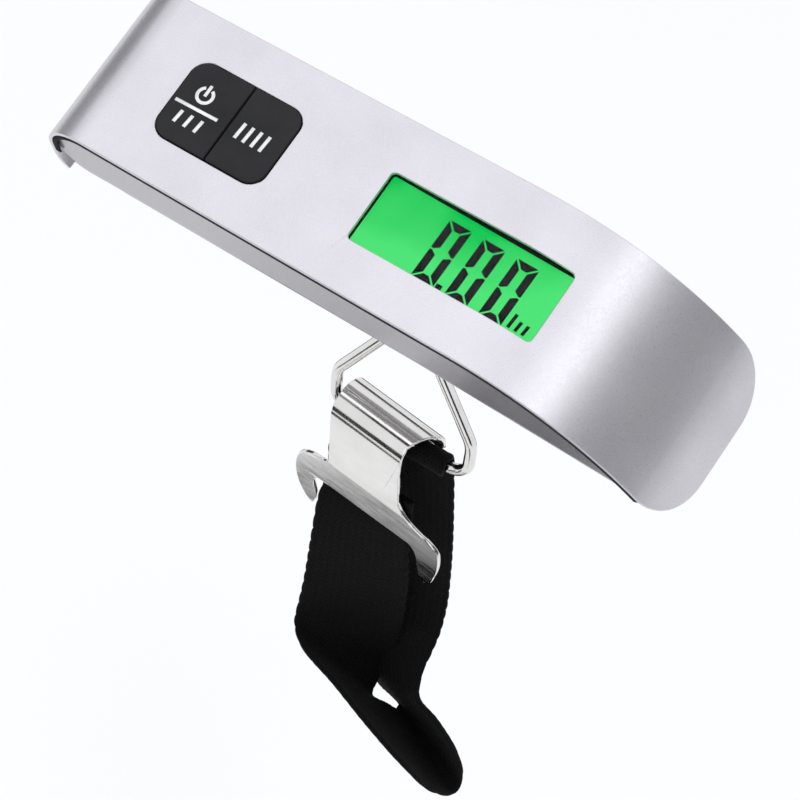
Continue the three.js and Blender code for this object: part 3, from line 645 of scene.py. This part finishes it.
def sweep(name, rings, closed, material, place, uvs=None):
    """A skin over rings of points. An open one is capped. UVs are (first, second) for each ring and point."""
    bm = bmesh.new()
    rows = [[bm.verts.new(p) for p in ring] for ring in rings]
    layer = bm.loops.layers.uv.new("UVMap") if uvs else None
    n = len(rows[0])
    last = len(rows) if closed else len(rows) - 1
    for i in range(last):
        k = (i + 1) % len(rows)
        for j in range(n):
            m = (j + 1) % n
            face = bm.faces.new([rows[i][j], rows[i][m], rows[k][m], rows[k][j]])
            if layer:
                for loop, (r, c) in zip(face.loops, ((i, j), (i, m), (k, m), (k, j))):
                    loop[layer].uv = uvs(r, c)
    if not closed:
        bm.faces.new(rows[0])
        bm.faces.new(rows[-1][::-1])
    bmesh.ops.recalc_face_normals(bm, faces=bm.faces[:])
    return new_object(name, bm, material, place)


def put_on(piece, body, slot, *nodes):
    """Rides a piece on a body, in place of the CAD nodes named. The slot is not used."""
    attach(piece, body)
    if nodes:
        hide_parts(*nodes)


# ---------------------------------------------------------------- the plate


def plate_runs():
    """Lengths and turns from the curl's end, round the roll, along the face and down the tongue."""
    quarter = math.pi / 2
    return [
        (CURL_R * quarter / 2, -quarter / 2),
        (CURL_DROP, 0),
        (ROLL_R * quarter, -quarter),
        (BEND_X - ROLL_X, 0),
        (BEND_R * BEND, -BEND),
        (TONGUE, 0),
    ]


def plate_path():
    """The way along the plate's outer face, and its length."""
    runs = plate_runs()
    start = polar(ROLL_X - ROLL_R + CURL_R, -CURL_DROP, CURL_R, 225)
    return turtle(start, math.radians(135), runs), sum(length for length, _ in runs)


def half_width(x):
    """Half the plate's width at a place along the body."""
    return PLATE_HALF - PLATE_NARROW * max(0, TAPER_X - x)


def plate_distance(x):
    """Distance along the plate of a place on its upper side."""
    before = sum(length for length, _ in plate_runs()[:3])
    if x <= BEND_X:
        return before + x - ROLL_X
    return before + BEND_X - ROLL_X + BEND_R * math.asin((x - BEND_X) / BEND_R)


def add_plate(finish):
    path, total = plate_path()
    full = plate_distance(TAPER_X)
    side = [i * full / 12 for i in range(12)]
    lower = [(s, -half_width(path(s)[0])) for s in side]
    upper = [(s, half_width(path(s)[0])) for s in reversed(side)]
    corner = TONGUE_CORNER
    tip = arc(total - corner, -PLATE_HALF + corner, corner, 270, 360, 14)
    tip += arc(total - corner, PLATE_HALF - corner, corner, 0, 90, 14)
    outline = lower + [(full, -PLATE_HALF)] + tip + [(full, PLATE_HALF)] + upper
    key_ends = (plate_distance(KEY_X[0] - KEY_GAP), plate_distance(KEY_X[3] + KEY_GAP))
    keys = rounded_rect(*key_ends, -KEY_HALF - KEY_GAP, KEY_HALF + KEY_GAP, [KEY_CORNER] * 4)
    window = rounded_rect(plate_distance(LCD_X0), plate_distance(LCD_X1), LCD_Y0, LCD_Y1, [1.2] * 4, 5)
    roll = plate_distance(ROLL_X)
    stations = [ROLL_CUT * i + 0.37 for i in range(int(roll / ROLL_CUT))]
    stations += [roll + FACE_CUT * i for i in range(int((BEND_X - ROLL_X) / FACE_CUT) + 1)]
    bend = plate_distance(BEND_X)
    stations += [bend + BEND_CUT * i for i in range(1, int((total - bend) / BEND_CUT))]
    plate = bent_sheet(
        "plate_skin", outline, [keys, window], stations, path, lambda h, across, v: Vector((h, across, v)),
        PLATE_T, 0.22, finish, BODY,
    )
    put_on(plate, "housing", "satin_metal", "top_plate")


def add_gap_shade_bands(finish):
    """A dark band of liner plastic under the plate's two long edges: painted shade standing in for the shadow
    in the gap.
    """
    path, total = plate_path()
    first = 8
    last = total - 11.5
    for name, side in (("gap_shade_front", -1), ("gap_shade_back", 1)):
        rings = []
        for i in range(GAP_STEPS + 1):
            h, v, a = path(first + (last - first) * i / GAP_STEPS)
            edge = side * half_width(h)
            inward = Vector((math.sin(a), 0, -math.cos(a)))
            rings.append([Vector((h, edge - side * d, v)) + inward * depth for d, depth in GAP_SECTION])
        # Painted shade: a dark band set where the gap under the plate's edge lies in shadow.
        band = sweep(name, rings, False, finish, BODY)
        put_on(band, "housing", "dark_liner")


# ---------------------------------------------------------------- the keys and their legends


def add_key(name, x0, x1, corners, body, finish):
    outline = rounded_rect(x0, x1, -KEY_HALF, KEY_HALF, corners, 10)
    key = slab(name + "_cap", outline, KEY_FOOT, KEY_TOP, 0.4, finish, BODY)
    put_on(key, body, "key_rubber", name)


def add_mark(name, outline, body, finish):
    """A printed mark, a hair proud of a key's top."""
    z = KEY_TOP - 0.01
    mark = slab(name, outline, z, z + MARK_T, 0, finish, BODY)
    put_on(mark, body, "key_rubber")


def stroke(x0, y0, x1, y1, width):
    """A straight stroke as an outline."""
    along = Vector((x1 - x0, y1 - y0)).normalized()
    side = Vector((-along.y, along.x)) * width / 2
    a, b = Vector((x0, y0)), Vector((x1, y1))
    return [tuple(a - side), tuple(b - side), tuple(b + side), tuple(a + side)]


def power_sign(x, y, radius, width):
    """An open ring: the outer arc, then the inner arc back."""
    gap = 28
    outer = arc(x, y, radius, 90 + gap, 450 - gap, 28)
    inner = arc(x, y, radius - width, 450 - gap, 90 + gap, 28)
    return outer + inner


def add_keys(finish):
    c = KEY_CORNER - 0.3
    add_key("power_key", KEY_X[0], KEY_X[1], [c, INNER_CORNER, INNER_CORNER, c], "power_key", finish)
    add_key("unit_key", KEY_X[2], KEY_X[3], [INNER_CORNER, c, c, INNER_CORNER], "unit_key", finish)
    white = textured("legend_white", (0.80, 0.80, 0.80), (0.90, 0.90, 0.90), 0, 0.5)
    add_mark("legend_power_ring", power_sign(POWER_X, 2.6, 2.15, 0.75), "power_key", white)
    add_mark("legend_power_bar", stroke(POWER_X, 2.4, POWER_X, 5.2, 0.75), "power_key", white)
    add_mark("legend_rule", stroke(-56.3, -1.1, -45.6, -0.9, 0.75), "power_key", white)
    for i in range(3):
        x = -53.6 + 2.6 * i
        add_mark(f"legend_tare_{i + 1}", stroke(x, -5.7, x + 0.3, -2.6, 0.8), "power_key", white)
    for i in range(4):
        x = -40.2 + 2.1 * i
        add_mark(f"legend_unit_{i + 1}", stroke(x, -2.4, x + 0.25, 1.6, 0.8), "unit_key", white)


# ---------------------------------------------------------------- the display's segments


def tipped():
    """Places what is drawn level at the display in its tipped plane."""
    hinge = Vector((LCD_X0, 0, LCD_HINGE_Z))
    turn = Matrix.Rotation(LCD_TILT, 4, "Y")
    return BODY @ Matrix.Translation(hinge) @ turn @ Matrix.Translation(-hinge)


def digit_segments():
    """Six bars of a zero, in a box DIGIT_W wide and DIGIT_H high, with a hairline between neighbours."""
    w, h, t, g = DIGIT_W, DIGIT_H, DIGIT_STROKE, HAIRLINE
    m = h / 2
    upper_left = [(0, h - g), (t, h - t - g), (t, m + t * 0.55), (t * 0.3, m + g / 2), (0, m + g)]
    top = [(g, h), (w - g, h), (w - t - g, h - t), (t + g, h - t)]
    left_pair = [upper_left, [(x, h - y) for x, y in upper_left]]
    right_pair = [[(w - x, y) for x, y in bar] for bar in left_pair]
    return [top, [(x, h - y) for x, y in top]] + left_pair + right_pair


def add_segments():
    ink = textured("segment_ink", (0.012, 0.010, 0.014), (0.022, 0.018, 0.024), 0, 0.6, gloss=0.02)
    place = tipped()
    bars = []
    for k in range(3):
        x0 = DIGIT_X + DIGIT_PITCH * k
        for bar in digit_segments():
            bars.append([(x0 + x + DIGIT_SLANT * y, DIGIT_Y + y) for x, y in bar])
    point = [(13.4, -8.4), (14.8, -8.4), (14.8, -7.0), (13.4, -7.0)]
    bars.append(point)
    for x, top in ((30.9, -4.2), (32.6, -5.2), (34.3, -5.2)):
        bars.append(stroke(x, -7.6, x + 0.2, top, 0.75))
    foot = GLASS_TOP + 0.01
    for i, bar in enumerate(bars):
        piece = slab(f"segment_{i + 1:02d}", bar, foot, foot + INK_T, 0, ink, place)
        put_on(piece, "housing", "display_glass")


# ---------------------------------------------------------------- the ring and the hook


def ring_line():
    """Centre line in the ring's plane: a rounded five-cornered outline."""
    corners = [
        (0, -12.3, 4.2),
        (17.2, RING_HIP_Z, 9),
        (17, RING_BAR_Z, 5),
        (-17.7, RING_BAR_Z, 5),
        (-17.9, RING_HIP_Z, 9),
    ]
    line = []
    for i, (x, z, radius) in enumerate(corners):
        here = Vector((x, z))
        back = (Vector(corners[i - 1][:2]) - here).normalized()
        on = (Vector(corners[(i + 1) % 5][:2]) - here).normalized()
        half = back.angle(on) / 2
        centre = here + (back + on).normalized() * radius / math.sin(half)
        sweep_angle = math.pi - 2 * half
        first = here + back * radius / math.tan(half) - centre
        start = math.atan2(first.y, first.x)
        steps = max(6, round(sweep_angle / 0.07))
        for k in range(steps + 1):
            t = start - sweep_angle * k / steps
            place = centre + Vector((radius * math.cos(t), radius * math.sin(t)))
            line.append(Vector((EYE_X + place.x, RING_Y, place.y)))
    return line


def add_ring(finish):
    line = ring_line()
    rings = []
    for i, p in enumerate(line):
        along = (line[(i + 1) % len(line)] - line[i - 1]).normalized()
        out = Vector((0, 1, 0)).cross(along)
        turns = [math.tau * j / WIRE_SIDES for j in range(WIRE_SIDES)]
        rings.append([p + out * WIRE_R * math.cos(t) + Vector((0, WIRE_R * math.sin(t), 0)) for t in turns])
    ring = sweep("ring_wire", rings, True, finish, TO_METRES)
    put_on(ring, "ring", "nickel", "ring")


def hook_outline():
    """The hook unrolled: distance along the sheet from its lowest line, then the place across."""
    front = [(-9.5, -15.5)]
    curve_to(front, (-9.6, -17.2), (-12.5, -17.3))
    curve_to(front, (-19.1, -18), (-19.2, -26))
    curve_to(front, (-19, -33.4), (-14, -36.4))
    curve_to(front, (-12.6, -35), (-12.8, -31.4))
    curve_to(front, (-13.9, -27.6), (-13.2, -26.1))
    curve_to(front, (-12.8, -25.3), (-11, -25.2))
    front.append((14.6, -24.5))
    curve_to(front, (17, -25.4), (17.3, -29.6))
    curve_to(front, (17.6, -34.2), (20, -34.6))
    curve_to(front, (21.8, -34.4), (22.3, -30.8))
    curve_to(front, (24, -25.4), (23.2, -21))
    curve_to(front, (22, -19), (18, -18.2))
    curve_to(front, (12.4, -17), (10.9, -13))
    front += [(10.3, -4.6), (10.3, 0)]
    flat = [(z - HOOK_LOW, u) for u, z in front]

    def over(degrees):
        return -HOOK_LOW + HOOK_R * math.radians(180 - degrees)

    for degrees in (134, 118, 100, 82, 66, 53):
        y = HOOK_R * math.cos(math.radians(degrees))
        flat.append((over(degrees), 10.3 + 3.3 * (y + 4) / 7.5))
    end = over(-14)
    flat += arc(end - 1.2, 12.4, 1.2, 90, 0, 5)
    flat += arc(end - 1.2, -9.2, 1.2, 0, -90, 5)
    flat.append((-HOOK_LOW, -10.1))
    return flat


def add_hook(finish):
    slope = KNEE_Z - HOOK_LOW
    wrap = math.radians(194)
    start = (-HOOK_R + slope * math.tan(KNEE), HOOK_LOW)
    runs = [
        (slope - 0.75, 0),
        (1.5, -KNEE),
        (-KNEE_Z - 0.75, 0),
        (HOOK_R * wrap, -wrap),
    ]
    path = turtle(start, math.pi / 2 + KNEE, runs)
    # Cuts across the sheet: wide on the flat, close at the knee and round the roll.
    stations = [1.37 * i + 0.61 for i in range(14)]
    stations += [slope - 0.75 + 0.3 * i for i in range(6)]
    stations += [slope + 2.9 * i for i in range(1, 6)]
    stations += [-HOOK_LOW + 0.42 * i for i in range(47)]
    place = TO_METRES @ Matrix.Translation(HOOK_AT) @ Matrix.Rotation(HOOK_YAW, 4, "Z")
    hook = bent_sheet(
        "hook_sheet", hook_outline(), [], stations, path, lambda h, across, v: Vector((across, h, v)),
        HOOK_T, 0.28, finish, place,
    )
    put_on(hook, "hook", "nickel", "hook")


# ---------------------------------------------------------------- the webbing loop

# Middle of the webbing, then the direction of its width. It leaves the T in front, twists half round in the
# open loop at the bottom, and rises behind to the bar.
WEB_STATIONS = [
    ((3, -9.3, -66), (0.99, -0.12, 0)),
    ((3, -8.7, -76), (0.99, -0.12, 0)),
    ((3.4, -10.9, -83), (1, 0, -0.05)),
    ((4.4, -12.6, -92), (0.98, 0.12, -0.05)),
    ((4.5, -13.5, -108), (0.96, 0.25, -0.15)),
    ((4.2, -14.6, -118), (0.93, 0.32, -0.15)),
    ((4.8, -17, -123), (0.76, 0.47, -0.45)),
    ((6.8, -20.4, -125), (0.53, 0.48, -0.69)),
    ((12.7, -23.5, -125.3), (0.1, 0.57, -0.81)),
    ((19.5, -24.8, -127.5), (-0.33, 0.68, -0.66)),
    ((25, -24, -132), (-0.67, 0.66, -0.33)),
    ((28.6, -21, -138.5), (-0.86, 0.5, 0.07)),
    ((30.6, -17.5, -142), (-0.92, 0.33, 0.22)),
    ((30.5, -15.2, -141), (-0.94, 0.33, 0.05)),
    ((28.8, -14.8, -136.7), (-0.88, 0.36, -0.32)),
    ((25.1, -15.6, -131), (-0.7, 0.37, -0.61)),
    ((20.6, -15.9, -127.5), (-0.64, 0.36, -0.68)),
    ((17.4, -13.6, -123.6), (-0.71, 0.22, -0.67)),
    ((15.2, -9.8, -119.5), (-0.83, 0.15, -0.54)),
    ((13, -5.6, -113.5), (-0.95, 0.12, -0.3)),
    ((11.4, -3, -100), (-1, 0.08, -0.03)),
    ((10.4, -2.6, -80), (-0.99, 0.1, 0.04)),
    ((8.6, -3.7, -62), (-1, 0, 0)),
]


def spline(points, t):
    """Centripetal Catmull-Rom through points, t from 0 to 1."""
    place = min(t, 0.999999) * (len(points) - 1)
    i = int(place)
    u = place - i
    p1, p2 = points[i], points[i + 1]
    p0 = points[i - 1] if i > 0 else 2 * p1 - p2
    p3 = points[i + 2] if i + 2 < len(points) else 2 * p2 - p1
    d0, d1, d2 = (max((b - a).length ** 0.5, 1e-4) for a, b in ((p0, p1), (p1, p2), (p2, p3)))
    t1 = ((p1 - p0) / d0 - (p2 - p0) / (d0 + d1) + (p2 - p1) / d1) * d1
    t2 = ((p2 - p1) / d1 - (p3 - p1) / (d1 + d2) + (p3 - p2) / d2) * d1
    return p1 + t1 * u + (3 * (p2 - p1) - 2 * t1 - t2) * u * u + (2 * (p1 - p2) + t1 + t2) * u ** 3


def web_line(samples):
    """Rows of (middle, width direction, thickness direction) from the T round the loop and over the bar."""
    middles = [Vector(s[0]) for s in WEB_STATIONS]
    widths = [Vector(s[1]) * 100 for s in WEB_STATIONS]
    rows = []
    for i in range(samples + 1):
        t = i / samples
        along = spline(middles, min(t + 1e-4, 1)) - spline(middles, max(t - 1e-4, 0))
        width = spline(widths, t).normalized()
        rows.append((spline(middles, t), width, width.cross(along).normalized()))
    radius = WIRE_R + 0.2 + WEB_T / 2
    side = 1 if rows[-1][2].y > 0 else -1
    turns = samples // 12
    for i in range(turns + 1):
        a = math.radians(BAR_WRAP * i / turns)
        out = Vector((0, math.cos(a), math.sin(a)))
        middle = Vector((BAR_X, RING_Y, RING_BAR_Z)) + out * radius
        rows.append((middle, Vector((-1, 0, 0)), out * side))
    return rows


def even_rows(rows, step):
    """The rows again, a step apart, and the run's length."""
    made = [rows[0]]
    wanted = step
    run = 0
    for before, after in zip(rows, rows[1:]):
        length = (after[0] - before[0]).length
        while length > 0 and wanted <= run + length:
            f = (wanted - run) / length
            made.append(tuple(a.lerp(b, f) for a, b in zip(before, after)))
            wanted += step
        run += length
    return made, run


def web_relief(distance, across):
    """Height of the weave: ribs along the webbing, crossed by finer picks, and a raised cord at each edge."""
    ribs = 0.05 * math.cos(math.tau * across / RIB_PITCH)
    picks = 0.035 * math.cos(math.tau * distance / PICK_PITCH + math.pi * round(across / RIB_PITCH))
    edge = 0.10 * math.exp(-(((abs(across) - 11.3) / 0.8) ** 2))
    return ribs + picks + edge - 0.08


def add_strap(finish):
    rows, run = even_rows(web_line(1600), WEB_STEP)
    rings = []
    for i, (middle, width, thick) in enumerate(rows):
        distance = WEB_STEP * i
        half = WEB_W / 2 - SCALLOP + SCALLOP * abs(math.sin(math.pi * distance / SCALLOP_PITCH)) ** 0.6
        ring = []
        for face in (1, -1):
            for j in range(WEB_COLUMNS + 1):
                u = face * (2 * j / WEB_COLUMNS - 1)
                across = u * (half - WEB_EDGE)
                height = WEB_T / 2 + web_relief(distance, across)
                ring.append(middle + width * across + thick * face * height)
            for turn in (60, 20, -20, -60):
                a = math.radians(turn)
                side = half - WEB_EDGE + WEB_EDGE * math.cos(a)
                ring.append(middle + width * face * side + thick * face * WEB_T / 2 * math.sin(a))
        rings.append(ring)
    count = len(rings[0])

    def uv(row, column):
        return (WEB_STEP * row, WEB_W * 2 * column / count)

    strap = sweep("webbing_loop", rings, False, finish, TO_METRES, uv)
    put_on(strap, "loop", "webbing", "strap")


# ---------------------------------------------------------------- the scene

add_camera()
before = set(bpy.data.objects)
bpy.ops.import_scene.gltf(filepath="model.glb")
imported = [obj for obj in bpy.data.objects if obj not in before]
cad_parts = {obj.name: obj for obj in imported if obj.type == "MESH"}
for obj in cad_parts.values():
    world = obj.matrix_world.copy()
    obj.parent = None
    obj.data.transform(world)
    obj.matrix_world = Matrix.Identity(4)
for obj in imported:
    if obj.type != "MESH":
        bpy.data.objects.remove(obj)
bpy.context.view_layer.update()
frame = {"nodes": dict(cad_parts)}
light_studio()
finishes = all_materials()
dress_frame(frame, finishes)
add_plate(finishes["satin_metal"])
add_gap_shade_bands(finishes["dark_liner"])
add_keys(finishes["key_rubber"])
add_segments()
add_ring(finishes["nickel"])
add_hook(finishes["nickel"])
add_strap(finishes["webbing"])
